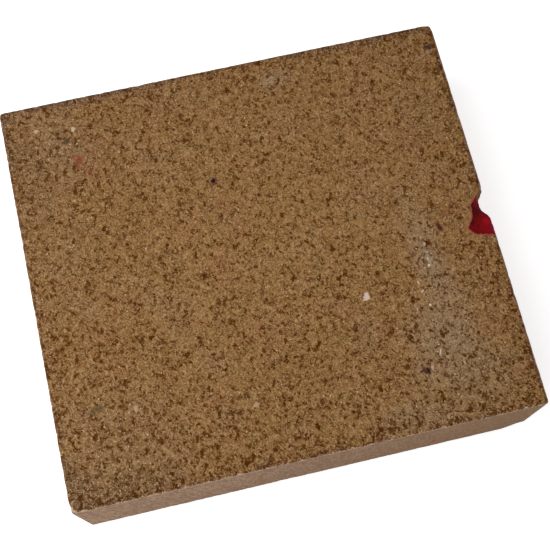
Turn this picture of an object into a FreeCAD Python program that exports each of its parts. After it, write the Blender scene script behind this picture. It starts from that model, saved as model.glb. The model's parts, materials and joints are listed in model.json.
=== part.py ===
"""Refractory firebrick: a pressed and fired wedge brick for a round lining, with one arris broken.

The brick lies on one of its large faces, the bed, at z = 0. Its thickness tapers along X, from the thick
end at -X to the thin end at +X, alike on both large faces. Y runs across the brick, and the front side is
at -Y.
"""

import FreeCAD, Part
import math
import os

import Sketcher

SIZES = (
    # the wedge
    ("length", 220.0, "between the thick end and the thin end, along the middle of the wedge"),
    ("width", 198.0, "between the front and the back side"),
    ("thick_end", 64.0, "thickness at the thick end"),
    ("thin_end", 59.0, "thickness at the thin end"),
    # how far its edges are rounded by the mould and by handling
    ("corner_radius", 1.5, "the four upright corners"),
    ("crown_radius", 1.2, "the arrises round the upper large face"),
    ("bed_radius", 1.2, "the arrises round the lower large face"),
    # the piece broken out of the upper arris of the thin end
    ("break_start", 92.2, "from the back side to where the break begins"),
    ("flank_run", 0.9, "from there to the foot of the steep flank"),
    ("flank_reach", 2.6, "how far the flank's foot reaches in over the upper face"),
    ("flank_drop", 13.2, "how far the flank's foot reaches down the thin end"),
    ("flank_hollow", 0.4, "how hollow the break is there, square to its slope"),
    ("notch_run", 2.5, "from the flank to the middle of the notch"),
    ("notch_reach", 4.7, "how far the notch reaches in over the upper face"),
    ("notch_drop", 14.2, "how far the notch reaches down the thin end"),
    ("notch_hollow", 0.6, "how hollow the notch is, square to its slope"),
    ("throat_run", 2.9, "from the notch to the throat, where it begins to rise"),
    ("throat_reach", 7.3, "how far the throat reaches in over the upper face"),
    ("throat_drop", 11.9, "how far the throat reaches down the thin end"),
    ("throat_hollow", 0.8, "how hollow the throat is, square to its slope"),
    ("neck_run", 5.2, "from the throat to the neck between it and the shelf"),
    ("neck_reach", 8.1, "how far the neck reaches in over the upper face"),
    ("neck_drop", 4.0, "how far the neck reaches down the thin end"),
    ("neck_hollow", 0.9, "how hollow the neck is, square to its slope"),
    ("lip_run", 2.4, "from the neck to the lip of the shelf"),
    ("lip_reach", 9.5, "how far the lip reaches in over the upper face"),
    ("lip_drop", 1.6, "how far the lip reaches down the thin end"),
    ("lip_hollow", 1.0, "how hollow the lip is, square to its slope"),
    ("shelf_run", 3.1, "from the lip to the middle of the shelf"),
    ("shelf_reach", 12.1, "how far the shelf reaches in over the upper face"),
    ("shelf_drop", 1.3, "how far the shelf reaches down the thin end"),
    ("shelf_hollow", 1.2, "how hollow the shelf is, square to its slope"),
    ("tail_run", 3.3, "from the middle of the shelf to its last full section"),
    ("tail_reach", 9.6, "how far that section reaches in over the upper face"),
    ("tail_drop", 1.2, "how far that section reaches down the thin end"),
    ("tail_hollow", 0.9, "how hollow that section is, square to its slope"),
    ("end_run", 2.0, "from there to where the break ends"),
)

LEAN = "atan((Sizes.thick_end - Sizes.thin_end) / 2 / Sizes.length)"  # of each large face from the middle
OUTSIDE = 4.0  # how far the section of a cut stands clear of the brick
RUN_OUT = 3.0  # the break runs out at this part of the rounded arris
LEANING = 8.0  # degrees; a face or an edge is taken to point in a direction when it leans less from it
START, END = range(1, 3)  # a sketch line's or arc's first and last point
ORIGIN = (-1, 1)  # a sketch's own origin
FIRST_AXIS = -1


def add_sizes(doc):
    """The sheet of driving dimensions: a value, its name and what it measures in each row."""
    sheet = doc.addObject("Spreadsheet::Sheet", "Sizes")
    for row, (name, value, meaning) in enumerate(SIZES, start=1):
        sheet.set(f"A{row}", str(value))
        sheet.setAlias(f"A{row}", name)
        sheet.set(f"B{row}", meaning)
    doc.recompute()
    return sheet


def new_sketch(body, name):
    """An empty sketch on the body's XZ plane, whose own third axis points to -Y."""
    sketch = body.newObject("Sketcher::SketchObject", name)
    plane = next(item for item in body.Origin.OriginFeatures if item.Role == "XZ_Plane")
    sketch.AttachmentSupport = [(plane, "")]
    sketch.MapMode = "FlatFace"
    return sketch


def line(start, end):
    """A straight sketch line between two points of its plane."""
    return Part.LineSegment(FreeCAD.Vector(*start), FreeCAD.Vector(*end))


def bind(sketch, kind, elements, name, formula):
    """Adds a sized constraint, names it and ties it to a formula of the sheet's values."""
    index = sketch.addConstraint(Sketcher.Constraint(kind, *elements, sketch.evalExpression(formula)))
    sketch.renameConstraint(index, name)
    sketch.setExpression(f"Constraints.{name}", formula)


def join(sketch, elements):
    """Joins each line or arc of a closed outline, end to start, to the next one."""
    for one, other in zip(elements, elements[1:] + elements[:1]):
        sketch.addConstraint(Sketcher.Constraint("Coincident", one, END, other, START))


def add_profile(body):
    """The wedge's section: both large faces lean alike from the middle line, which is square to the ends."""
    sketch = new_sketch(body, "WedgeProfile")
    length = sketch.evalExpression("Sizes.length")
    thick = sketch.evalExpression("Sizes.thick_end")
    thin = sketch.evalExpression("Sizes.thin_end")
    bed_ends = (-length / 2, 0), (length / 2, 0)
    crown_ends = (length / 2, thin), (-length / 2, thick)
    middle_ends = (-length / 2, thick / 2), (length / 2, thin / 2)
    bed, thin_side, crown, thick_side, middle = range(5)
    sketch.addGeometry(line(*bed_ends), False)
    sketch.addGeometry(line(bed_ends[1], crown_ends[0]), False)
    sketch.addGeometry(line(*crown_ends), False)
    sketch.addGeometry(line(crown_ends[1], bed_ends[0]), False)
    sketch.addGeometry(line(*middle_ends), True)
    join(sketch, [bed, thin_side, crown, thick_side])
    for side, end in ((thick_side, START), (thin_side, END)):
        sketch.addConstraint(Sketcher.Constraint("Symmetric", side, START, side, END, middle, end))
        sketch.addConstraint(Sketcher.Constraint("Perpendicular", middle, side))
    sketch.addConstraint(Sketcher.Constraint("Symmetric", bed, START, bed, END, *ORIGIN))
    sketch.addConstraint(Sketcher.Constraint("Horizontal", bed))
    bind(sketch, "Distance", (middle,), "length", "Sizes.length")
    bind(sketch, "Distance", (thick_side,), "thick_end", "Sizes.thick_end")
    bind(sketch, "Distance", (thin_side,), "thin_end", "Sizes.thin_end")
    for kind, name in (("DistanceX", "edge_x"), ("DistanceY", "edge_z")):
        index = sketch.addConstraint(Sketcher.Constraint(kind, *ORIGIN, crown, START, 0.0))
        sketch.setDriving(index, False)
        sketch.renameConstraint(index, name)
    return sketch


def add_wedge(body, profile):
    """The section carried across the width, half to each side."""
    pad = body.newObject("PartDesign::Pad", "Wedge")
    pad.Profile = profile
    pad.SideType = "Symmetric"
    pad.setExpression("Length", "Sizes.width")
    return pad


def face_towards(feature, *direction):
    """The name of the flat face that looks in a direction."""
    wanted = FreeCAD.Vector(*direction)
    for index, face in enumerate(feature.Shape.Faces, start=1):
        flat = isinstance(face.Surface, Part.Plane)
        if flat and math.degrees(face.normalAt(0, 0).getAngle(wanted)) < LEANING:
            return f"Face{index}"
    raise ValueError(f"{feature.Label} has no flat face towards {direction}")


def upright_edges(feature):
    """The names of the four edges that run from the bed to the crown."""
    names = []
    for index, edge in enumerate(feature.Shape.Edges, start=1):
        rise = edge.lastVertex().Point - edge.firstVertex().Point
        lean = math.degrees(math.acos(min(abs(rise.normalize().z), 1)))
        if lean < LEANING:
            names.append(f"Edge{index}")
    return names


def add_fillet(body, name, base, parts, size):
    """Rounds the named edges, or all edges of the named face, of a feature."""
    fillet = body.newObject("PartDesign::Fillet", name)
    fillet.Base = (base, parts)
    fillet.setExpression("Radius", f"Sizes.{size}")
    return fillet


def add_break_section(body, name, stations, reach, drop, hollow):
    """One section through the break, square to the broken arris.

    The sketch's origin is the sharp corner of the wedge's section, and its first axis lies in the crown. The
    hollow slope runs from the crown, at reach, to the thin end, at drop, and the rest of the outline stands
    clear outside.
    """
    sketch = new_sketch(body, name)
    place = {
        "Base.x": "WedgeProfile.Constraints.edge_x",
        "Base.y": "WedgeProfile.Constraints.edge_z",
        "Base.z": f"{' + '.join('Sizes.' + station for station in stations)} - Sizes.width / 2",
        "Rotation.Angle": f"-2 * {LEAN}",
    }
    for part, formula in place.items():
        sketch.setExpression(f"AttachmentOffset.{part}", formula)
    inner = FreeCAD.Vector(-sketch.evalExpression(reach), 0)
    lower = FreeCAD.Vector(0, -sketch.evalExpression(drop))
    inward = FreeCAD.Vector(lower.y, inner.x).normalize()
    middle = (inner + lower) / 2 + inward * sketch.evalExpression(hollow)
    outer = FreeCAD.Vector(OUTSIDE, lower.y - OUTSIDE)
    corner = FreeCAD.Vector(OUTSIDE, OUTSIDE)
    top = FreeCAD.Vector(inner.x, OUTSIDE)
    slope, below, side, above, rise = range(5)
    sketch.addGeometry(Part.Arc(inner, middle, lower), False)
    for start, end in ((lower, outer), (outer, corner), (corner, top), (top, inner)):
        sketch.addGeometry(line(start, end), False)
    join(sketch, [slope, below, side, above, rise])
    sketch.addConstraint(Sketcher.Constraint("PointOnObject", slope, START, FIRST_AXIS))
    sketch.addConstraint(Sketcher.Constraint("Vertical", side))
    sketch.addConstraint(Sketcher.Constraint("Horizontal", above))
    sketch.addConstraint(Sketcher.Constraint("Vertical", rise))
    sketch.addConstraint(Sketcher.Constraint("DistanceX", *ORIGIN, side, START, OUTSIDE))
    sketch.addConstraint(Sketcher.Constraint("DistanceY", *ORIGIN, side, END, OUTSIDE))
    sketch.addConstraint(Sketcher.Constraint("DistanceY", side, START, slope, END, OUTSIDE))
    bow = f"((({reach})^2 + ({drop})^2) / 4 + ({hollow})^2) / (2 * ({hollow}))"
    bind(sketch, "DistanceX", (slope, START, *ORIGIN), "reach", reach)
    bind(sketch, "DistanceX", (*ORIGIN, slope, END), "drop_out", f"({drop}) * sin({LEAN})")
    bind(sketch, "DistanceY", (slope, END, *ORIGIN), "drop_down", f"({drop}) * cos({LEAN})")
    bind(sketch, "Radius", (slope,), "bow", bow)
    return sketch


def add_break(body):
    """The broken place: a steep notch that opens over a neck into a shallow shelf."""
    run_out = f"Sizes.crown_radius / {RUN_OUT}"
    faint = f"Sizes.crown_radius / {RUN_OUT * RUN_OUT}"
    stations = ["break_start"]
    sections = [add_break_section(body, "BreakStart", stations, run_out, run_out, faint)]
    for part in ("flank", "notch", "throat", "neck", "lip", "shelf", "tail"):
        stations.append(f"{part}_run")
        sizes = (f"Sizes.{part}_{size}" for size in ("reach", "drop", "hollow"))
        sections.append(add_break_section(body, f"Break{part.title()}", stations, *sizes))
    stations.append("end_run")
    sections.append(add_break_section(body, "BreakEnd", stations, run_out, run_out, faint))
    loft = body.newObject("PartDesign::SubtractiveLoft", "Break")
    loft.Profile = sections[0]
    loft.Sections = sections[1:]
    loft.Ruled = True
    return loft


def build_brick(doc):
    """The brick's body: the wedge, its rounded edges, and the break last, as on the real brick."""
    body = doc.addObject("PartDesign::Body", "Brick")
    body.Label = "brick"
    profile = add_profile(body)
    doc.recompute()
    wedge = add_wedge(body, profile)
    doc.recompute()
    corners = add_fillet(body, "Corners", wedge, upright_edges(wedge), "corner_radius")
    doc.recompute()
    crown = add_fillet(body, "CrownArris", corners, [face_towards(corners, 0, 0, 1)], "crown_radius")
    doc.recompute()
    bed = add_fillet(body, "BedArris", crown, [face_towards(crown, 0, 0, -1)], "bed_radius")
    doc.recompute()
    whole = bed.Shape.Volume
    add_break(body)
    doc.recompute()
    if not body.Shape.Volume < whole:
        raise ValueError("the break took nothing off the brick")
    return body


def check(doc, bodies):
    """Stops with an error where any object failed, or where a body isn't one sound solid."""
    for item in doc.Objects:
        if {"Invalid", "Error"} & set(item.State):
            raise ValueError(f"{item.Name} is {item.State}")
    for body in bodies:
        shape = body.Shape
        if shape.isNull() or not shape.isValid() or len(shape.Solids) != 1:
            raise ValueError(f"{body.Label} isn't one valid solid")


def main():
    doc = FreeCAD.newDocument("Firebrick")
    add_sizes(doc)
    bodies = [build_brick(doc)]
    check(doc, bodies)
    os.makedirs("parts", exist_ok=True)
    for body in bodies:
        body.Shape.exportStep(os.path.join("parts", f"{body.Label}.step"))
        box = body.Shape.BoundBox
        print(body.Label, "volume", round(body.Shape.Volume), "box", box)


main()
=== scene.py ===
"""Refractory wedge brick: grainy fired faces, smooth pressed sides, and a painted break in one arris.

The frame is in metres, +Z up: the brick lies on its bed at z = 0, its thin end is at +X and its front side
at -Y. Sizes of grains and relief are given in millimetres where a name says so.
"""

import json
import math
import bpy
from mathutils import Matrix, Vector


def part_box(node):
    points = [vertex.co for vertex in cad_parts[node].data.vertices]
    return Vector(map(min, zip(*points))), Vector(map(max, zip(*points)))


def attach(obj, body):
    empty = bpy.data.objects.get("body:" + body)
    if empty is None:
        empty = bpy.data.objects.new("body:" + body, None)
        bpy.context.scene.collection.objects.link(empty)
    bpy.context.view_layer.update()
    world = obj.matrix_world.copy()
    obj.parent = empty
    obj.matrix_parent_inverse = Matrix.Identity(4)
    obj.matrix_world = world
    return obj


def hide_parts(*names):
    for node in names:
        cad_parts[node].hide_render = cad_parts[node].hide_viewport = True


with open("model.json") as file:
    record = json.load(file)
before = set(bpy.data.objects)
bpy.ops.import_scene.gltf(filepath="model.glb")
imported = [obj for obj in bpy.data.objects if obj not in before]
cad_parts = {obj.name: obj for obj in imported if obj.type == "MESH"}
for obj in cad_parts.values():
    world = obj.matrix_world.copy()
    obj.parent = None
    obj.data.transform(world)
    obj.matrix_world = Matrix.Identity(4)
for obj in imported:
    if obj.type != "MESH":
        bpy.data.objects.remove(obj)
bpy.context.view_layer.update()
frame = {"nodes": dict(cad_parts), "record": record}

from types import SimpleNamespace

import bmesh
import bpy
from bpy.props import FloatProperty, FloatVectorProperty, PointerProperty
from mathutils import Matrix, Vector, geometry, kdtree, noise
from mathutils.bvhtree import BVHTree

bl_info = {
    "name": "Refractory wedge brick",
    "version": (1, 0, 0),
    "blender": (4, 5, 0),
    "location": "3D View > Sidebar > Brick",
    "description": "Builds the fired brick's surface, its paint, and the studio that it lies in",
    "category": "Object",
}

MM = 0.001
NODE = "brick"
MOUNTS = {mount["name"]: mount for mount in frame["record"]["mounts"]}


def linear(text):
    """A colour written as sRGB hex, as the linear values that a shader takes."""
    values = [int(text[start:start + 2], 16) / 255 for start in (1, 3, 5)]
    return [v / 12.92 if v <= 0.04045 else ((v + 0.055) / 1.055) ** 2.4 for v in values]


def colour(name, text, description):
    """A colour setting whose default is written as sRGB hex."""
    return FloatVectorProperty(
        name=name, description=description, subtype="COLOR", size=3, min=0, max=1, default=linear(text)
    )


def size(name, millimetres, description):
    """A length setting whose default is given in millimetres."""
    return FloatProperty(
        name=name, description=description, subtype="DISTANCE", unit="LENGTH", default=millimetres * MM
    )


class BrickSettings(bpy.types.PropertyGroup):
    """Sizes and colours of the fired brick."""

    coarse: size("Mesh spacing", 1.05, "Spacing of the mesh over the large faces")
    fine: size("Edge spacing", 0.55, "Spacing of the mesh near the arrises")
    margin: size("Edge band", 5.0, "Width of the finer band along each arris")
    course: size("Side spacing", 2.0, "Spacing of the mesh up the sides")
    arris: size("Upper arris radius", 1.2, "How far the upper arrises are rounded")
    relief: size("Grain relief", 0.35, "How deep the large faces are pitted between their grains")
    crumbling: size("Arris crumbling", 0.9, "How far grains have come off the upper arrises")
    fracture: size("Fracture relief", 0.5, "How uneven the broken surface is")
    bed_keep: FloatProperty(
        name="Bed detail", description="Share of the bed's triangles that is kept", subtype="FACTOR",
        default=0.2, min=0, max=1,
    )
    gloss: FloatProperty(
        name="Gloss", description="Mirror-like share of the matt surface", subtype="FACTOR", default=0.05,
        min=0, max=1,
    )
    matrix: colour("Matrix", "#997040", "Fired clay between the grains")
    matrix_red: colour("Red matrix", "#9b6e44", "Where the matrix is richer in iron")
    matrix_olive: colour("Olive matrix", "#94713f", "Where the matrix is fired harder")
    matrix_grey: colour("Grey matrix", "#97744c", "Where dust lies on the matrix")
    # painted shade: the matrix darkens towards the corners of the face, where less light falls
    corner_shade: colour("Hard-fired matrix", "#6a4a30", "What the matrix turns to towards the corners")
    fleck: colour("Dark grain", "#532a00", "Dark iron-rich grains and the pits beside them")
    rim: colour("Pale grain", "#be996e", "Fine pale grains around the dark ones")
    spark: colour("White grain", "#d8c4a0", "The few white grains")
    scorched: colour("Scorched edge", "#64483a", "Dark crumbled clay along the arrises")
    side: colour("Pressed side", "#a5886e", "Smooth skin where the brick was pressed against its mould")
    side_shade: colour("Side mottling", "#866a56", "Darker cloud of the pressed skin")
    side_brown: colour("Brown skin", "#8f6f50", "What the pressed skin turns to towards the thin end")
    side_pit: colour("Side pits", "#54402f", "Fine open pores and scratches in the pressed skin")
    # painted highlight: a pale band on the sides just under the crown, where light catches the rounded arris
    side_highlight: colour("Worn skin", "#c2a890", "Where the skin is rubbed off along an arris")
    # painted light: the thin end and its rounded upper arris are made paler against the shade that the arris
    # falls in
    arris_highlight: colour("Worn arris", "#b48a70", "Bare clay along the thin end's upper arris")


class PaintSettings(bpy.types.PropertyGroup):
    """The red marking paint on the thin end."""

    # The paint mixes these two by a random thickness and by depth into the break: deeper it is darker, as
    # painted shade, and near the thin end brighter, as painted light
    red: colour("Paint", "#7e1216", "Marking paint where it lies thick")
    red_lit: colour("Bright paint", "#8c0f19", "Marking paint where it lies thin")
    stain: colour("Stain", "#a2584a", "Brick that the paint's edge has soaked into")


class StudioSettings(bpy.types.PropertyGroup):
    """Camera, lights and floor."""

    azimuth: FloatProperty(
        name="Azimuth", description="Turn of the view from +Y towards +X", subtype="ANGLE",
        default=math.radians(8.35),
    )
    elevation: FloatProperty(
        name="Elevation", description="How far above the horizon the camera stands", subtype="ANGLE",
        default=math.radians(72.64),
    )
    roll: FloatProperty(
        name="Roll", description="Clockwise lean of the camera about its line of sight", subtype="ANGLE",
        default=math.radians(4.8),
    )
    distance: size("Distance", 526.7, "From the camera to the middle of the upper face")
    aim_x: size("Aim along", -8.4, "Where the camera's line of sight meets the upper face, along the brick")
    aim_y: size("Aim across", -4.3, "Where the camera's line of sight meets the upper face, across the brick")
    focal: FloatProperty(
        name="Focal length", description="In millimetres, on a sensor 36 mm wide", subtype="DISTANCE_CAMERA",
        unit="CAMERA", default=73.42,
    )
    shift_x: FloatProperty(name="Shift across", description="Share of the picture's width", default=0.053)
    shift_y: FloatProperty(name="Shift up", description="Share of the picture's width", default=-0.0187)
    sky: FloatProperty(name="Ambient", description="Strength of the even light around", default=0.38)
    key: FloatProperty(
        name="Main lamp", description="Watts of the large soft lamp", subtype="POWER", unit="POWER",
        default=3.7,
    )
    fill: FloatProperty(
        name="Fill lamp", description="Watts of the lamp on the front side", subtype="POWER", unit="POWER",
        default=2.2,
    )


# Chance marks on this brick: colour, strength, centre and radii in millimetres, and turn in degrees
# Dust and scorching lie in the clay, and the dark grains show through them
SMEARS = (
    ("#9d8a72", 0.50, (25.9, 86.7, 60.9), (6.0, 4.0, 3.0), 0),
    ("#8a7054", 0.50, (-84.0, 74.0, 63.3), (13.0, 16.0, 3.0), 20),
    ("#8d7350", 0.35, (-88.0, 20.0, 63.4), (6.0, 12.0, 3.0), 10),
    ("#9a866d", 0.60, (77.0, -28.0, 59.8), (7.0, 30.0, 3.0), 6),
    ("#9a866d", 0.60, (73.0, -62.0, 59.8), (13.0, 17.0, 3.0), 25),
    ("#917c62", 0.50, (52.0, -92.0, 60.2), (16.0, 7.0, 3.0), 0),
    ("#8d7657", 0.40, (84.0, -80.0, 59.8), (14.0, 12.0, 3.0), 30),
    ("#897354", 0.40, (-84.0, -76.0, 63.3), (24.0, 22.0, 3.0), 0),
)
SCORCHED = (
    ("#544440", 0.60, (-109.5, 84.0, 63.8), (3.5, 22.0, 3.0), 0),
    ("#74593f", 0.50, (-101.0, 66.0, 63.8), (9.0, 26.0, 3.0), 6),
    ("#6e5844", 0.70, (-106.0, -88.0, 63.8), (7.0, 14.0, 4.0), 10),
    ("#5e4836", 0.50, (-84.0, -95.0, 63.2), (24.0, 8.0, 3.0), 0),
    ("#6a544a", 0.65, (-60.0, 98.0, 63.2), (50.0, 3.6, 3.0), 0),
    ("#5e4434", 0.60, (76.0, 98.0, 59.8), (42.0, 3.6, 3.0), 0),
)
MARKS = (
    ("#dcc0b0", 1.0, (42.7, -32.2, 60.5), (2.0, 1.5, 1.5), 60),     # pinkish white grog grain
    ("#6f5a20", 0.5, (42.7, -34.8, 60.5), (1.6, 1.0, 1.5), 0),      # olive clay beside it
    ("#6a4448", 0.5, (-14.2, 40.6, 61.8), (2.0, 2.0, 1.5), 0),      # purplish rim of the iron spot
    ("#2a0a14", 0.95, (-14.2, 40.6, 61.8), (1.0, 1.0, 1.5), 0),     # melted iron spot
    ("#b8332e", 0.9, (-71.6, 58.7, 63.1), (0.7, 0.8, 1.5), 0),      # dots of marking paint
    ("#945040", 0.4, (-75.5, 65.5, 63.2), (2.6, 3.4, 2.0), 40),
    ("#94382e", 0.7, (-78.0, 68.0, 63.3), (1.1, 0.7, 1.5), 30),
    ("#94382e", 0.7, (-74.6, 66.2, 63.2), (0.8, 1.2, 1.5), 0),
    ("#94382e", 0.7, (-75.6, 62.6, 63.2), (0.7, 1.0, 1.5), 40),
    ("#8c403c", 0.6, (110.0, 26.0, 58.9), (1.2, 1.6, 1.5), 0),      # and at the thin end's arris
    ("#8c403c", 0.5, (110.0, 13.0, 58.9), (1.0, 1.2, 1.5), 0),
    ("#8c403c", 0.6, (110.0, -44.0, 58.9), (1.2, 1.8, 1.5), 0),
    ("#8c403c", 0.6, (110.0, -81.0, 58.9), (1.2, 1.4, 1.5), 0),
    ("#cfae8c", 0.9, (-93.0, 85.3, 63.6), (1.2, 1.0, 1.5), 0),      # pale grains
    ("#cfb694", 0.9, (-75.2, 82.2, 63.2), (0.9, 1.3, 1.5), 0),
    ("#c2a482", 0.8, (-71.9, -59.3, 63.1), (0.9, 1.6, 1.5), 0),
    ("#c2a482", 0.8, (-18.7, -70.1, 61.9), (1.5, 1.0, 1.5), 0),
    ("#dccab0", 0.8, (100.0, -98.7, 59.2), (1.3, 0.5, 0.8), 0),     # chipped white grain at the arris
    ("#5a4434", 0.85, (-79.7, 76.7, 63.3), (2.2, 1.2, 1.5), 20),    # flat dark grain
    ("#4e3230", 0.85, (60.6, -71.9, 60.1), (2.0, 1.3, 1.5), 150),   # purplish grain with an open pore
    ("#2e1612", 0.9, (61.6, -72.4, 60.1), (0.5, 1.4, 1.5), 20),
    ("#c4ac92", 0.8, (63.6, -71.4, 60.1), (0.5, 1.6, 1.5), 0),
    ("#6b5638", 0.6, (-89.3, -56.2, 63.5), (4.0, 2.0, 2.0), 10),    # olive grain
    ("#7c4636", 0.8, (85.3, -6.5, 59.6), (1.4, 2.9, 1.5), 25),      # long red-brown grain and its rim
    ("#4c2a1a", 0.9, (85.3, -6.5, 59.6), (0.9, 2.2, 1.5), 25),
    ("#8a4c38", 0.3, (91.0, 0.0, 59.4), (5.0, 1.8, 1.5), 20),       # reddish clay near the paint
    ("#ab9a80", 0.45, (75.8, -19.0, 59.8), (0.9, 6.0, 1.5), 4),     # chalky streak and dots on the dust
    ("#cdbfa8", 0.8, (76.1, -13.3, 59.8), (0.4, 0.8, 1.5), 0),
    ("#cdbfa8", 0.7, (76.2, -17.2, 59.8), (0.5, 0.6, 1.5), 0),
    ("#d8c8b0", 0.8, (75.6, -20.6, 59.8), (0.4, 0.8, 1.5), 0),
    ("#e0d4c0", 0.9, (75.3, -23.8, 59.8), (0.6, 0.8, 1.5), 0),
    ("#d8c8b0", 0.8, (68.1, -31.0, 60.0), (0.4, 0.9, 1.5), 20),
    ("#d8c8b0", 0.8, (68.8, -35.4, 60.0), (0.9, 0.4, 1.5), 30),
    ("#e0d4c0", 0.9, (70.7, -42.6, 59.9), (0.6, 0.6, 1.5), 0),
    ("#cdbba0", 0.7, (64.2, -43.5, 60.1), (0.4, 1.0, 1.5), 0),
    ("#d8c8b0", 0.8, (69.1, -65.2, 59.9), (0.4, 1.6, 1.5), 160),
    ("#3e3630", 0.7, (105.6, 86.4, 59.2), (2.2, 1.4, 1.5), 0),      # grey spot by the far corner
    ("#a89072", 0.6, (102.5, 82.6, 59.2), (6.0, 0.4, 1.5), 20),     # scratch beside it
    ("#a07650", 0.85, (109.6, 6.0, 54.0), (3.0, 3.6, 7.0), 0),      # bare shoulder of the break
    ("#b03028", 0.8, (62.1, -99.0, 17.6), (1.2, 1.5, 2.6), 0),      # paint on the front side
    ("#9c5a34", 0.45, (-25.0, -99.0, 26.0), (2.0, 1.5, 5.0), 0),    # rusty tinge on the front side
    ("#3c2a1c", 0.9, (-28.6, -99.0, 0.6), (1.6, 1.5, 1.6), 0),      # a dark spot where a crumb hangs at the lower arris, painted as dark as the shadow it lies in
    ("#5a5450", 0.7, (-13.7, -99.0, 1.5), (1.6, 1.5, 2.0), 0),      # grey nick
)

# Where the paint in the break is darker or brighter, laid out as the marks are: changes in its tone, painted
# shade in the deep middle and the pocket, and a painted highlight on the shelf
PAINT_TONES_AND_SHADE = (
    ("#aa2228", 0.7, (105.3, 3.4, 52.0), (2.6, 2.2, 9.0), 0),       # upper end of the notch
    ("#581412", 0.8, (105.2, -1.6, 53.0), (3.4, 2.6, 9.0), 0),      # painted shade in the deep, steep middle
    ("#46100f", 0.8, (101.2, -7.4, 56.0), (1.3, 1.8, 6.0), 0),      # painted shade in the pocket under the rim
    ("#aa162a", 0.6, (108.5, -7.6, 57.0), (1.5, 1.8, 5.0), 0),      # painted highlight on the upper end of the shelf
    ("#6c2036", 0.6, (110.2, -12.6, 56.0), (1.0, 3.0, 5.0), 0),     # purple lower end
)

# Grain sizes of the grog, as lengths in millimetres, each with its turn in degrees
GRAINS = ((0.75, 50), (1.2, 20), (1.3, 80), (1.4, 140), (1.9, 50), (2.9, 110))

# Lengths of the grains that stand open as pits, and of those that also come in a pale kind
OPEN_GRAINS = (0.75, 1.9)
PALE_GRAINS = (0.75, 1.3)

# Small worn places: centre, radius and depth in millimetres
WORN = (
    ((110.6, 6.6, 59.0), 3.2, 0.9),       # shoulder of the break
    ((110.2, -98.8, 0.5), 12.0, 1.1),     # lower corner of the thin end
    ((110.4, -37.0, 59.0), 2.0, 0.5),     # nicks in the arrises
    ((-13.7, -98.8, 0.4), 2.4, 0.5),
    ((-109.5, 30.0, 63.9), 2.6, 0.5),
    ((-40.0, 98.9, 62.5), 3.0, 0.5),
    ((-109.6, -98.8, 63.6), 6.0, 0.9),    # crown corners
    ((110.4, 98.8, 59.0), 5.0, 0.6),
)


def plane(name):
    """A mount's face as a point and an outward direction."""
    mount = MOUNTS[name]
    return Vector(mount["pos_m"]), Vector(mount["axis"]).normalized()


CROWN, BED = plane("crown_face"), plane("bed_face")
THIN, THICK = plane("thin_end"), plane("thick_end")
FRONT, BACK = plane("front_side"), plane("back_side")


def depth_below(face, point):
    """How far a point lies inside one of the brick's faces."""
    return (face[0] - point).dot(face[1])


def section_corner(face_a, face_b):
    """Where two faces meet in the section across the brick, as (x, z)."""
    point, _ = geometry.intersect_plane_plane(*face_a, *face_b)
    return Vector((point.x, point.z))


def stations(length, margin, fine, coarse):
    """Places along an edge from 0 to 1, closer together within the margin at both ends."""
    near = max(1, round(margin / fine))
    far = max(1, round((length - 2 * margin) / coarse))
    start = [margin * i / near for i in range(near)]
    middle = [margin + (length - 2 * margin) * i / far for i in range(far)]
    end = [length - margin + margin * i / near for i in range(near + 1)]
    return [place / length for place in start + middle + end]


def cut_block(counts):
    """A unit cube whose edges along each axis are cut into the given number of pieces."""
    bm = bmesh.new()
    bmesh.ops.create_cube(bm, size=1.0, matrix=Matrix.Translation((0.5, 0.5, 0.5)))
    for axis, count in enumerate(counts):
        edges = []
        for edge in bm.edges:
            run = edge.verts[1].co - edge.verts[0].co
            if abs(run[axis]) > 0.5:
                edges.append(edge)
        bmesh.ops.subdivide_edges(bm, edges=edges, cuts=count - 1, use_grid_fill=True)
    return bm


def shape_block(bm, places):
    """Moves the unit cube's points to their stations on the sharp wedge."""
    bed_thick, bed_thin = section_corner(BED, THICK), section_corner(BED, THIN)
    crown_thick, crown_thin = section_corner(CROWN, THICK), section_corner(CROWN, THIN)
    front, back = FRONT[0].y, BACK[0].y
    for vert in bm.verts:
        u, v, w = (place[round(share * (len(place) - 1))] for share, place in zip(vert.co, places))
        lower, upper = bed_thick.lerp(bed_thin, u), crown_thick.lerp(crown_thin, u)
        across = lower.lerp(upper, w)
        vert.co = (across.x, front + (back - front) * v, across.y)


# The broken stretch of the thin end's upper arris: where it starts and ends across the brick, how far it
# reaches in from the thin end and down from the crown, and the slant that meets its surface squarely
BREAK_START, BREAK_END = -0.0172, 0.0082
BREAK_REACH, BREAK_DROP = 0.0135, 0.0165
INTO_BRICK = Vector((-1, 0, -1)).normalized()


def near_break(point, spare=0.0):
    """Whether a point on the sharp wedge lies in the broken stretch, or no further outside than the spare."""
    along = BREAK_START - spare < point.y < BREAK_END + spare
    inward = depth_below(THIN, point) < BREAK_REACH + spare
    return along and inward and depth_below(CROWN, point) < BREAK_DROP + spare


def grain(point, scale, octaves=3):
    """Fractal noise about zero, at a grain size in millimetres."""
    return noise.fractal(point / (scale * MM), 1.0, 2.0, octaves, noise_basis="PERLIN_ORIGINAL")


def merged_copy(node):
    """A closed copy of a CAD node's surface to measure against."""
    bm = bmesh.new()
    bm.from_mesh(node.data)
    bmesh.ops.remove_doubles(bm, verts=bm.verts, dist=1e-7)
    tree = BVHTree.FromBMesh(bm)
    bm.free()
    return tree


def make_object(name, bm):
    """A finished mesh as an object that sits at the origin."""
    mesh = bpy.data.meshes.new(name)
    bm.to_mesh(mesh)
    bm.free()
    mesh.shade_smooth()
    piece = bpy.data.objects.new(name, mesh)
    bpy.context.scene.collection.objects.link(piece)
    return piece


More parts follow.
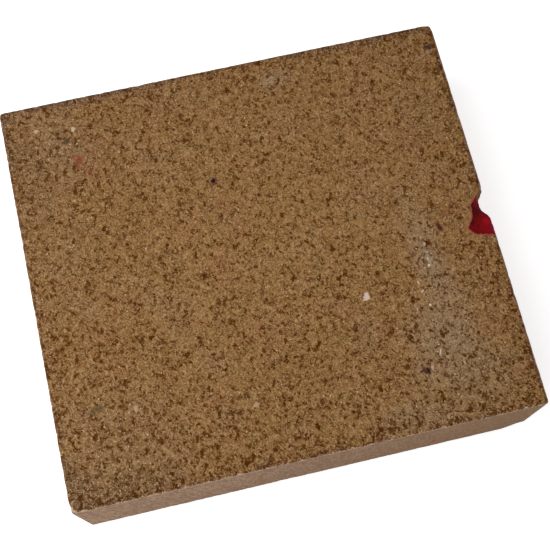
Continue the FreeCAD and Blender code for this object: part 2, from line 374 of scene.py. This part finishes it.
def lay_on_solid(bm, solid):
    """Lays each point on the CAD solid: on its rounded edges, and down into the break along one slant."""
    for vert in bm.verts:
        if near_break(vert.co):
            hit = solid.ray_cast(vert.co - INTO_BRICK * MM, INTO_BRICK)[0]
        else:
            hit = solid.find_nearest(vert.co)[0]
        if hit is not None:
            vert.co = hit


def broken_depth(point, radius):
    """How far a point lies under the unbroken brick with its rounded arris."""
    crown, end = depth_below(CROWN, point), depth_below(THIN, point)
    corner = Vector((max(radius - crown, 0), max(radius - end, 0)))
    return radius - corner.length - min(max(radius - crown, radius - end), 0)


def mark_break(bm, radius):
    """Writes to each point how near it is to the broken surface: 1 on it, 0 from 3 mm away."""
    layer = bm.verts.layers.float.new("broken")
    zone = [vert for vert in bm.verts if near_break(vert.co, 5 * MM)]
    broken = [vert for vert in zone if broken_depth(vert.co, radius) > 0.12 * MM]
    tree = kdtree.KDTree(len(broken))
    for index, vert in enumerate(broken):
        tree.insert(vert.co, index)
    tree.balance()
    for vert in zone:
        vert[layer] = 1 - min(tree.find(vert.co)[2] / (3 * MM), 1)
    return layer


def roughen(bm, settings, layer):
    """Presses the relief of the grains, the crumbled arrises and the fracture into the surface."""
    bm.normal_update()
    places = [(Vector(centre) * MM, reach * MM, depth * MM) for centre, reach, depth in WORN]
    moves = []
    for vert in bm.verts:
        point, normal = vert.co, vert.normal
        crown, bed = depth_below(CROWN, point), depth_below(BED, point)
        large = min(crown, bed)
        rim = min(depth_below(face, point) for face in (THIN, THICK, FRONT, BACK))
        if vert[layer] > 0.98:
            # on the fracture
            sink = settings.fracture * (0.5 + grain(point, 4.0) + 0.4 * grain(point, 1.3, 2))
        elif large < 0.9 * MM:
            # on the crown and the bed, more so near their arrises
            coarse = max(grain(point, 5.0) - 0.1, 0)
            small = max(grain(point, 2.0, 2), 0)
            sink = settings.relief * (0.25 + 1.2 * coarse + 0.9 * small)
            worn = max(1 - rim / (2.5 * MM), 0)
            sink += settings.crumbling * worn * max(grain(point, 3.2) + 0.12, 0)
        else:
            # on the pressed sides
            sink = 0.04 * MM * (1 + grain(point, 6.0))
            worn = max(1 - large / (3.0 * MM), 0)
            sink += 0.4 * settings.crumbling * worn * max(grain(point, 3.2), 0)
        for centre, reach, depth in places:
            near = 1 - (point - centre).length / reach
            if near > 0:
                sink += depth * near * near * (3 - 2 * near)
        moves.append(normal * -max(sink, 0))
    for vert, move in zip(bm.verts, moves):
        vert.co += move


def thin_bed(piece, keep):
    """Joins points of the bed, where little shows, until the given share of its triangles is left."""
    group = piece.vertex_groups.new(name="bed")
    low = [v.index for v in piece.data.vertices if v.co.z < 0.6 * MM and v.normal.z < -0.5]
    group.add(low, 1.0, "REPLACE")
    decimate = piece.modifiers.new("Bed", "DECIMATE")
    decimate.vertex_group = group.name
    share = len(low) / len(piece.data.vertices)
    decimate.ratio = 1 - share * (1 - keep)
    with bpy.context.temp_override(object=piece, active_object=piece):
        bpy.ops.object.modifier_apply(modifier=decimate.name)


def add(tree, kind, inputs=(), out=0, **settings):
    """Adds a node: its settings, then each input as a link, a number or a colour. Gives one output."""
    node = tree.nodes.new("ShaderNode" + kind)
    for name, value in settings.items():
        setattr(node, name, value)
    for key, value in inputs.items() if isinstance(inputs, dict) else enumerate(inputs):
        socket = node.inputs[key]
        if isinstance(value, bpy.types.NodeSocket):
            tree.links.new(value, socket)
        elif socket.type == "RGBA":
            socket.default_value = (*value, 1)
        else:
            socket.default_value = value
    return node.outputs[out] if node.outputs else None


def new_material(name):
    """An empty node material, its tree, and places on the piece in millimetres."""
    material = bpy.data.materials.new(name)
    material.use_nodes = True
    tree = material.node_tree
    tree.nodes.clear()
    place = add(tree, "TexCoord", out="Object")
    return material, tree, add(tree, "VectorMath", {0: place, "Scale": 1 / MM}, operation="SCALE")


def inside(tree, place, face):
    """How far a point lies inside a face, in millimetres."""
    offset = add(tree, "VectorMath", (place, face[0] / MM), operation="SUBTRACT")
    return add(tree, "VectorMath", (offset, -face[1]), out="Value", operation="DOT_PRODUCT")


def crushed_grains(tree, place, length, turn, share, ragged):
    """Angular grains of crushed grog, cut open in the face: their cover, and two numbers of each grain's own.

    A grain is about the given length in millimetres, turned by the given degrees and a little over half as
    wide, and grains that touch run together. Share is the part of the face's grains that show, as a socket.
    """
    lie = add(tree, "VectorRotate", {"Vector": place, "Angle": math.radians(turn)}, rotation_type="Z_AXIS")
    lie = add(tree, "VectorMath", (lie, (1.0, 1.8, 1.0)), operation="MULTIPLY")
    cell = add(tree, "TexVoronoi", {"Vector": lie, "Scale": 1 / length}, out="Color")
    parts = add(tree, "SeparateColor", (cell,)).node.outputs
    level = add(tree, "Math", (share, parts["Red"]), operation="SUBTRACT")
    level = add(tree, "Math", (ragged, 0.2, level), operation="MULTIPLY_ADD")
    cover = add(tree, "MapRange", {"Value": level, "From Min": 0.0, "From Max": 0.05})
    return cover, parts["Blue"], parts["Green"]


def spots(tree, place, marks, tone, ragged, soft):
    """Lays marks with ragged outlines over a colour. Gives the new colour, and the cover of all marks.

    A mark holds its colour, its strength, its centre and radii in millimetres, and its turn in degrees.
    """
    covered = 0.0
    for text, strength, centre, radii, turn in marks:
        local = add(tree, "Mapping", {
            "Vector": place, "Location": centre, "Rotation": (0, 0, math.radians(turn)), "Scale": radii
        }, vector_type="TEXTURE")
        reach = add(tree, "VectorMath", (local,), out="Value", operation="LENGTH")
        reach = add(tree, "Math", (ragged, 2.0, reach), operation="MULTIPLY_ADD")
        cover = add(tree, "MapRange", {
            "Value": reach, "From Min": 1 + soft, "From Max": 1 - soft, "To Max": strength
        })
        tone = add(tree, "Mix", {0: cover, 6: tone, 7: linear(text)}, out=2, data_type="RGBA")
        covered = add(tree, "Math", (covered, cover), operation="MAXIMUM")
    return tone, covered


def brick_places(tree, place):
    """What the finishes share: depths under the brick's faces, in millimetres, and the common noises."""
    at = SimpleNamespace(place=place)
    wander = {"Vector": place, "Scale": 0.7, "Detail": 3.0, "Roughness": 0.6}
    wander = add(tree, "TexNoise", wander, out="Color")
    wander = add(tree, "VectorMath", (wander, (0.5, 0.5, 0.5)), operation="SUBTRACT")
    at.warped = add(tree, "VectorMath", (wander, (1.3, 1.3, 1.3), place), operation="MULTIPLY_ADD")
    ragged = add(tree, "TexNoise", {"Vector": place, "Scale": 1.1, "Detail": 3.0, "Roughness": 0.6})
    at.ragged = add(tree, "Math", (ragged, 0.5), operation="SUBTRACT")
    dusted = add(tree, "TexNoise", {"Vector": place, "Scale": 1 / 7, "Detail": 5.0, "Roughness": 0.7})
    at.dusted = add(tree, "Math", (dusted, 0.5), operation="SUBTRACT")

    at.crown, at.bed = inside(tree, place, CROWN), inside(tree, place, BED)
    at.front, at.back = inside(tree, place, FRONT), inside(tree, place, BACK)
    at.thick_end, at.thin_end = inside(tree, place, THICK), inside(tree, place, THIN)
    at.rim = at.front
    for depth in (at.back, at.thick_end, at.thin_end):
        at.rim = add(tree, "Math", (at.rim, depth), operation="MINIMUM")

    # the same depth, wandering by a few millimetres
    sway = add(tree, "TexNoise", {"Vector": place, "Scale": 1 / 9, "Detail": 4.0, "Roughness": 0.6})
    sway = add(tree, "Math", (sway, 14.0, -7.4), operation="MULTIPLY_ADD")
    at.sway = add(tree, "Math", (at.rim, sway), operation="SUBTRACT")

    # how far towards a corner, 0 near the middle and about 1 where an arris is nearest
    outward = add(tree, "VectorMath", (place, (20.0, 0.0, 0.0)), operation="SUBTRACT")
    outward = add(tree, "VectorMath", (outward, (0.0091, 0.0101, 0.0)), operation="MULTIPLY")
    at.outward = add(tree, "VectorMath", (outward,), out="Value", operation="LENGTH")
    return at


def clay_matrix(tree, at, brick):
    """Fired clay between the grains: broad drifts of colour, and painted shade that darkens it towards the
    corners.
    """
    drift = add(tree, "TexNoise", {"Vector": at.place, "Scale": 1 / 15, "Detail": 3.0, "Roughness": 0.6})
    drift = add(tree, "MapRange", {"Value": drift, "From Min": 0.45, "From Max": 0.65})
    tone = add(tree, "Mix", {0: drift, 6: brick.matrix, 7: brick.matrix_red}, out=2, data_type="RGBA")
    drift = add(tree, "TexNoise", {"Vector": at.warped, "Scale": 1 / 8, "Detail": 3.0, "Roughness": 0.6})
    drift = add(tree, "MapRange", {"Value": drift, "From Min": 0.52, "From Max": 0.66})
    tone = add(tree, "Mix", {0: drift, 6: tone, 7: brick.matrix_olive}, out=2, data_type="RGBA")
    drift = add(tree, "TexNoise", {"Vector": at.place, "Scale": 1 / 26, "Detail": 5.0, "Roughness": 0.65})
    drift = add(tree, "MapRange", {"Value": drift, "From Min": 0.53, "From Max": 0.66})
    tone = add(tree, "Mix", {0: drift, 6: tone, 7: brick.matrix_grey}, out=2, data_type="RGBA")
    # painted shade, darker towards the corners, where less light falls
    corner_shaded = add(tree, "MapRange", {"Value": at.outward, "From Min": 0.15, "From Max": 1.0, "To Max": 0.24})
    return add(tree, "Mix", {0: corner_shaded, 6: tone, 7: brick.corner_shade}, out=2, data_type="RGBA")


def fine_sand(tree, at, brick, tone):
    """Sand of half a millimetre and less, as darker and paler specks. Its patterns are kept for others."""
    sand = add(tree, "TexVoronoi", {"Vector": at.place, "Scale": 1 / 0.5}, out="Color")
    at.sand = add(tree, "SeparateColor", (sand,)).node.outputs
    at.soft = add(tree, "TexNoise", {"Vector": at.place, "Scale": 1 / 0.9, "Detail": 3.0, "Roughness": 0.7})
    at.speck = add(tree, "Math", (at.soft, 1.4, at.sand["Red"]), operation="MULTIPLY_ADD")
    dark = add(tree, "MapRange", {"Value": at.speck, "From Min": 1.1, "From Max": 0.7, "To Max": 0.5})
    pale = add(tree, "MapRange", {"Value": at.speck, "From Min": 1.3, "From Max": 1.7, "To Max": 0.7})
    tone = add(tree, "Mix", {0: pale, 6: tone, 7: brick.rim}, out=2, data_type="RGBA")
    return add(tree, "Mix", {0: dark, 6: tone, 7: brick.fleck}, out=2, data_type="RGBA")


def grog(tree, at, brick, tone, band):
    """Dark grains of several sizes, in clusters, and pale ones. Gives the colour and the open pits."""
    patch = add(tree, "TexNoise", {"Vector": at.place, "Scale": 1 / 2.9, "Detail": 2.0, "Roughness": 0.6})
    share = add(tree, "Math", (patch, 1.2, -0.45), operation="MULTIPLY_ADD")
    worn = add(tree, "MapRange", {"Value": at.rim, "From Min": 9.0, "From Max": 1.0})
    share = add(tree, "Math", (worn, 0.08, share), operation="MULTIPLY_ADD")
    share = add(tree, "Math", (band, 0.08, share), operation="MULTIPLY_ADD")
    open_face = add(tree, "MapRange", {"Value": at.outward, "From Min": 0.3, "From Max": 1.0})
    coarse = add(tree, "Math", (share, 0.4), operation="MULTIPLY")
    coarse = add(tree, "Math", (open_face, 0.02, coarse), operation="MULTIPLY_ADD")
    fine = add(tree, "Math", (open_face, -0.07, share), operation="MULTIPLY_ADD")
    # the grains near the front side are darker
    darkest = add(tree, "MapRange", {
        "Value": at.front, "From Min": 120.0, "From Max": 20.0, "To Min": 0.37, "To Max": 0.45
    })
    pits = 0.0
    for length, turn in GRAINS:
        part = fine if length < 1 else coarse
        cover, own, other = crushed_grains(tree, at.warped, length, turn, part, at.ragged)
        if length in PALE_GRAINS:
            pale = add(tree, "MapRange", {"Value": other, "From Min": 0.91, "From Max": 0.93, "To Max": 0.45})
            tone = add(tree, "Mix", {0: pale, 6: tone, 7: brick.rim}, out=2, data_type="RGBA")
        depth = add(tree, "Math", (own, 0.55, darkest), operation="MULTIPLY_ADD")
        cover = add(tree, "Math", (cover, depth), operation="MULTIPLY")
        tone = add(tree, "Mix", {0: cover, 6: tone, 7: brick.fleck}, out=2, data_type="RGBA")
        if length in OPEN_GRAINS:
            pits = add(tree, "Math", (pits, cover), operation="MAXIMUM")
    return tone, pits


def pressed_skin(tree, at, brick):
    """Skin of the sides: the mould's fine upright drag, scratches, open pores, and a painted highlight under
    the crown arris. Gives its mottling too.
    """
    drag = add(tree, "VectorRotate", {"Vector": at.place, "Angle": 0.12}, rotation_type="Y_AXIS")
    drag = add(tree, "VectorMath", (drag, (1.0, 1.0, 0.22)), operation="MULTIPLY")
    mottle = add(tree, "TexNoise", {"Vector": drag, "Scale": 1 / 1.2, "Detail": 3.0, "Roughness": 0.7})
    mottle = add(tree, "MapRange", {"Value": mottle, "From Min": 0.40, "From Max": 0.60})
    skin = add(tree, "Mix", {0: mottle, 6: brick.side, 7: brick.side_shade}, out=2, data_type="RGBA")
    cloud = add(tree, "TexNoise", {"Vector": drag, "Scale": 1 / 14, "Detail": 4.0, "Roughness": 0.6})
    cloud = add(tree, "MapRange", {"Value": cloud, "From Min": 0.45, "From Max": 0.75, "To Max": 0.35})
    skin = add(tree, "Mix", {0: cloud, 6: skin, 7: brick.side_shade}, out=2, data_type="RGBA")
    brown = add(tree, "MapRange", {"Value": at.thick_end, "From Min": 80.0, "From Max": 190.0, "To Max": 0.6})
    skin = add(tree, "Mix", {0: brown, 6: skin, 7: brick.side_brown}, out=2, data_type="RGBA")
    pore = add(tree, "Math", (at.sand["Blue"], at.soft), operation="ADD")
    pore = add(tree, "MapRange", {"Value": pore, "From Min": 1.36, "From Max": 1.46, "To Max": 0.6})
    skin = add(tree, "Mix", {0: pore, 6: skin, 7: brick.side_pit}, out=2, data_type="RGBA")
    scratch = add(tree, "VectorRotate", {"Vector": at.place, "Angle": 0.6}, rotation_type="Y_AXIS")
    scratch = add(tree, "VectorMath", (scratch, (0.12, 1.0, 1.6)), operation="MULTIPLY")
    scratch = add(tree, "TexNoise", {"Vector": scratch, "Scale": 0.8, "Detail": 2.0, "Roughness": 0.5})
    scratch = add(tree, "MapRange", {"Value": scratch, "From Min": 0.62, "From Max": 0.72, "To Max": 0.4})
    skin = add(tree, "Mix", {0: scratch, 6: skin, 7: brick.side_pit}, out=2, data_type="RGBA")
    # painted highlight: a pale band just under the crown arris, where light catches it
    rubbed = add(tree, "Math", (at.ragged, 1.6, at.crown), operation="MULTIPLY_ADD")
    rubbed = add(tree, "MapRange", {"Value": rubbed, "From Min": 2.3, "From Max": 1.5, "To Max": 0.9})
    return add(tree, "Mix", {0: rubbed, 6: skin, 7: brick.side_highlight}, out=2, data_type="RGBA"), mottle


def marking_paint(tree, at, paint, tone):
    """Paint in the break and brushed over the thin end, and its stain. Gives the colour and the cover."""
    broken = add(tree, "Attribute", out="Fac", attribute_name="broken")
    broken = add(tree, "Math", (at.ragged, 0.3, broken), operation="MULTIPLY_ADD")
    in_break = add(tree, "MapRange", {"Value": broken, "From Min": 0.80, "From Max": 0.86})
    across = add(tree, "SeparateXYZ", (at.place,), out="Y")
    across = add(tree, "Math", (at.ragged, 2.0, across), operation="MULTIPLY_ADD")
    wet = add(tree, "MapRange", {"Value": across, "From Min": 5.4, "From Max": 4.8})
    in_break = add(tree, "Math", (in_break, wet), operation="MULTIPLY")
    soaked = add(tree, "MapRange", {"Value": broken, "From Min": 0.4, "From Max": 0.7, "To Max": 0.85})
    soaked = add(tree, "Math", (soaked, wet), operation="MULTIPLY")

    brushed = add(tree, "TexNoise", {"Vector": at.place, "Scale": 1 / 24, "Detail": 4.0, "Roughness": 0.6})
    brushed = add(tree, "MapRange", {"Value": brushed, "From Min": 0.42, "From Max": 0.44})
    near_end = add(tree, "MapRange", {"Value": at.thin_end, "From Min": 0.9, "From Max": 0.7})
    low = add(tree, "Math", (at.sway, -0.35, at.crown), operation="MULTIPLY_ADD")
    low = add(tree, "MapRange", {"Value": low, "From Min": 3.0, "From Max": 3.4})
    on_end = add(tree, "Math", (brushed, near_end), operation="MULTIPLY")
    on_end = add(tree, "Math", (on_end, low), operation="MULTIPLY")
    painted = add(tree, "Math", (in_break, on_end), operation="MAXIMUM")

    # paint thicker and thinner at random, and painted shade: darker deeper in the break, brighter near the
    # thin end
    thick = add(tree, "TexNoise", {"Vector": at.place, "Scale": 1 / 5, "Detail": 2.0})
    thick = add(tree, "Math", (thick, -10.0, at.thin_end), operation="MULTIPLY_ADD")
    thick = add(tree, "MapRange", {"Value": thick, "From Min": 2.0, "From Max": -3.0})
    coat = add(tree, "Mix", {0: thick, 6: paint.red, 7: paint.red_lit}, out=2, data_type="RGBA")
    # darker and brighter spots in the break: tone changes, painted shade in its recesses and a painted
    # highlight on the shelf
    coat, _ = spots(tree, at.place, PAINT_TONES_AND_SHADE, coat, at.ragged, 0.5)
    tone = add(tree, "Mix", {0: soaked, 6: tone, 7: paint.stain}, out=2, data_type="RGBA")
    return add(tree, "Mix", {0: painted, 6: tone, 7: coat}, out=2, data_type="RGBA"), painted


def fired_refractory(brick, paint):
    """Coarse fired refractory: crushed grog of several colours in a tan clay matrix, unglazed and quite matt.

    The large faces show the cut grains and the pits between them. The pressed sides have a closed, paler and
    smoother skin. The marking paint is brushed on, dries matt and lies over both.
    """
    material, tree, place = new_material("fired refractory, grog in clay, with brushed marking paint")
    at = brick_places(tree, place)
    band = add(tree, "MapRange", {"Value": at.sway, "From Min": 2.6, "From Max": 1.0, "To Max": 0.7})

    # the large faces
    tone = clay_matrix(tree, at, brick)
    tone, dust = spots(tree, place, SMEARS, tone, at.dusted, 0.7)
    tone = add(tree, "Mix", {0: band, 6: tone, 7: brick.scorched}, out=2, data_type="RGBA")
    tone, _ = spots(tree, place, SCORCHED, tone, at.dusted, 0.4)
    tone = fine_sand(tree, at, brick, tone)
    tone, pits = grog(tree, at, brick, tone, band)
    spark = add(tree, "Math", (dust, 0.008, at.sand["Green"]), operation="MULTIPLY_ADD")
    spark = add(tree, "MapRange", {"Value": spark, "From Min": 0.9965, "From Max": 0.998, "To Max": 0.8})
    tone = add(tree, "Mix", {0: spark, 6: tone, 7: brick.spark}, out=2, data_type="RGBA")

    # the sides, whose skin ends in a ragged line just under the crown and above the bed
    skin, mottle = pressed_skin(tree, at, brick)
    large_face = add(tree, "Math", (at.crown, at.bed), operation="MINIMUM")
    level = add(tree, "Math", (at.ragged, 2.4, large_face), operation="MULTIPLY_ADD")
    pressed = add(tree, "MapRange", {"Value": level, "From Min": 0.85, "From Max": 1.15})
    tone = add(tree, "Mix", {0: pressed, 6: tone, 7: skin}, out=2, data_type="RGBA")

    # the chance marks, painted light that makes the thin end and its rounded upper arris paler, and the paint
    # lie over both
    tone, _ = spots(tree, place, MARKS, tone, at.ragged, 0.15)
    # painted light on the thin end and its upper arris
    pale = add(tree, "Math", (at.ragged, 1.6, at.thin_end), operation="MULTIPLY_ADD")
    pale = add(tree, "MapRange", {"Value": pale, "From Min": 1.0, "From Max": 0.5, "To Max": 0.6})
    tone = add(tree, "Mix", {0: pale, 6: tone, 7: brick.arris_highlight}, out=2, data_type="RGBA")
    tone, painted = marking_paint(tree, at, paint, tone)

    # relief too fine for the mesh, in metres
    pits = add(tree, "Math", (pits, -0.16 * MM), operation="MULTIPLY")
    pits = add(tree, "Math", (at.speck, 0.05 * MM, pits), operation="MULTIPLY_ADD")
    drag_marks = add(tree, "Math", (mottle, 0.03 * MM), operation="MULTIPLY")
    height = add(tree, "Mix", {0: pressed, 2: pits, 3: drag_marks})
    height = add(tree, "Mix", {0: painted, 2: height, 3: 0.0})
    bump = add(tree, "Bump", {"Height": height, "Strength": 1.0, "Distance": 1.0})
    shader = add(tree, "BsdfPrincipled", {
        "Base Color": tone, "Roughness": 0.9, "Normal": bump, "IOR": 1.5, "Specular IOR Level": brick.gloss
    })
    add(tree, "OutputMaterial", {"Surface": shader})
    return material


class BRICK_OT_body(bpy.types.Operator):
    """Builds the brick's surface over its solid: relief, crumbled arrises, the break and the paint"""

    bl_idname = "brick.body"
    bl_label = "Brick"

    def execute(self, context):
        settings = context.scene.brick_body
        node = frame["nodes"][NODE]
        solid = merged_copy(node)
        low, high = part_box(NODE)
        length, width, height = (high[axis] - low[axis] for axis in range(3))
        places = (
            stations(length, settings.margin, settings.fine, settings.coarse),
            stations(width, settings.margin, settings.fine, settings.coarse),
            stations(height, settings.margin, settings.fine, settings.course),
        )
        bm = cut_block([len(place) - 1 for place in places])
        shape_block(bm, places)
        zone = []
        for edge in bm.edges:
            if all(near_break(vert.co) for vert in edge.verts):
                zone.append(edge)
        bmesh.ops.subdivide_edges(bm, edges=zone, cuts=1, use_grid_fill=True)
        lay_on_solid(bm, solid)
        layer = mark_break(bm, settings.arris)
        roughen(bm, settings, layer)
        bmesh.ops.recalc_face_normals(bm, faces=bm.faces)
        piece = make_object("fired_brick", bm)
        thin_bed(piece, settings.bed_keep)
        piece.data.materials.append(fired_refractory(settings, context.scene.brick_paint))
        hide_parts(NODE)
        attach(piece, "root")
        return {"FINISHED"}


class BRICK_OT_studio(bpy.types.Operator):
    """Sets the floor, the soft lamps and the camera"""

    bl_idname = "brick.studio"
    bl_label = "Studio"

    def execute(self, context):
        settings = context.scene.brick_studio
        self.add_floor()
        self.add_world(context, settings)
        self.add_lamp(context, "key_lamp", Vector((-0.42, 0.05, 0.75)), 0.6, settings.key)
        self.add_lamp(context, "fill_lamp", Vector((-0.50, -0.46, 0.16)), 0.4, settings.fill)
        self.add_camera(context, settings)
        context.scene.view_settings.view_transform = "Standard"
        return {"FINISHED"}

    def add_floor(self):
        """A plain white floor that shows as white to the camera and keeps the brick's shadow."""
        bm = bmesh.new()
        bmesh.ops.create_grid(bm, x_segments=1, y_segments=1, size=3.0)
        floor = make_object("floor", bm)
        material, tree, _ = new_material("matt white paper")
        paper = add(tree, "BsdfPrincipled", {"Base Color": (0.86, 0.86, 0.86), "Roughness": 0.9})
        path = add(tree, "LightPath").node.outputs
        seen = add(tree, "Math", (path["Is Camera Ray"], path["Is Glossy Ray"]), operation="MAXIMUM")
        seen = add(tree, "Math", (seen, path["Is Transmission Ray"]), operation="MAXIMUM")
        # with the lamps' light on the paper, this much shows as white
        seen = add(tree, "Math", (seen, 0.65), operation="MULTIPLY")
        glow = add(tree, "Emission", {"Color": (1, 1, 1), "Strength": seen})
        add(tree, "OutputMaterial", {"Surface": add(tree, "AddShader", (paper, glow))})
        floor.data.materials.append(material)

    def add_world(self, context, settings):
        """Even light from all around, which the camera sees as white."""
        world = bpy.data.worlds.new("studio")
        world.use_nodes = True
        tree = world.node_tree
        tree.nodes.clear()
        seen = add(tree, "LightPath", out="Is Camera Ray")
        strength = add(tree, "Mix", {0: seen, 2: settings.sky, 3: 1.0})
        sky = add(tree, "Background", {"Color": (1, 1, 1), "Strength": strength})
        add(tree, "OutputWorld", {"Surface": sky})
        context.scene.world = world

    def add_lamp(self, context, name, place, width, watts):
        """A large square lamp that faces the middle of the brick."""
        light = bpy.data.lights.new(name, "AREA")
        light.size = width
        light.energy = watts
        lamp = bpy.data.objects.new(name, light)
        lamp.location = place
        lamp.rotation_euler = (-place).to_track_quat("-Z", "Y").to_euler()
        context.scene.collection.objects.link(lamp)

    def add_camera(self, context, settings):
        """A camera high in front of the brick, which leans a little about its line of sight."""
        flat = math.cos(settings.elevation)
        across, along = math.sin(settings.azimuth) * flat, math.cos(settings.azimuth) * flat
        forward = Vector((across, along, -math.sin(settings.elevation)))
        aim_height = CROWN[0].z - settings.aim_x * CROWN[1].x / CROWN[1].z
        aim = Vector((settings.aim_x, settings.aim_y, aim_height))
        turn = forward.to_track_quat("-Z", "Y").to_matrix() @ Matrix.Rotation(-settings.roll, 3, "Z")
        data = bpy.data.cameras.new("camera")
        data.sensor_width = 36
        data.lens = settings.focal
        data.shift_x, data.shift_y = settings.shift_x, settings.shift_y
        data.clip_start = 0.01
        camera = bpy.data.objects.new("camera", data)
        camera.matrix_world = Matrix.Translation(aim - forward * settings.distance) @ turn.to_4x4()
        context.scene.collection.objects.link(camera)
        context.scene.camera = camera


class BRICK_PT_panel(bpy.types.Panel):
    """Lists the brick's settings and the steps that build it"""

    bl_label = "Refractory brick"
    bl_idname = "BRICK_PT_panel"
    bl_space_type = "VIEW_3D"
    bl_region_type = "UI"
    bl_category = "Brick"

    def draw(self, context):
        for groups, operator in STEPS:
            box = self.layout.box()
            for group in groups:
                settings = getattr(context.scene, group)
                for key in settings.bl_rna.properties.keys():
                    if key not in ("rna_type", "name"):
                        box.prop(settings, key)
            box.operator(operator)


STEPS = (
    (("brick_studio",), BRICK_OT_studio.bl_idname),
    (("brick_body", "brick_paint"), BRICK_OT_body.bl_idname),
)
GROUPS = {"brick_body": BrickSettings, "brick_paint": PaintSettings, "brick_studio": StudioSettings}
CLASSES = (*GROUPS.values(), BRICK_OT_body, BRICK_OT_studio, BRICK_PT_panel)


def register():
    """Makes the classes and the scene's settings known to Blender."""
    for item in CLASSES:
        bpy.utils.register_class(item)
    for name, group in GROUPS.items():
        setattr(bpy.types.Scene, name, PointerProperty(type=group))


def unregister():
    """Takes the settings and the classes out again."""
    for name in GROUPS:
        delattr(bpy.types.Scene, name)
    for item in reversed(CLASSES):
        bpy.utils.unregister_class(item)


def main():
    """Builds everything in order."""
    register()
    bpy.ops.brick.studio()
    bpy.ops.brick.body()


if __name__ == "__main__":
    main()
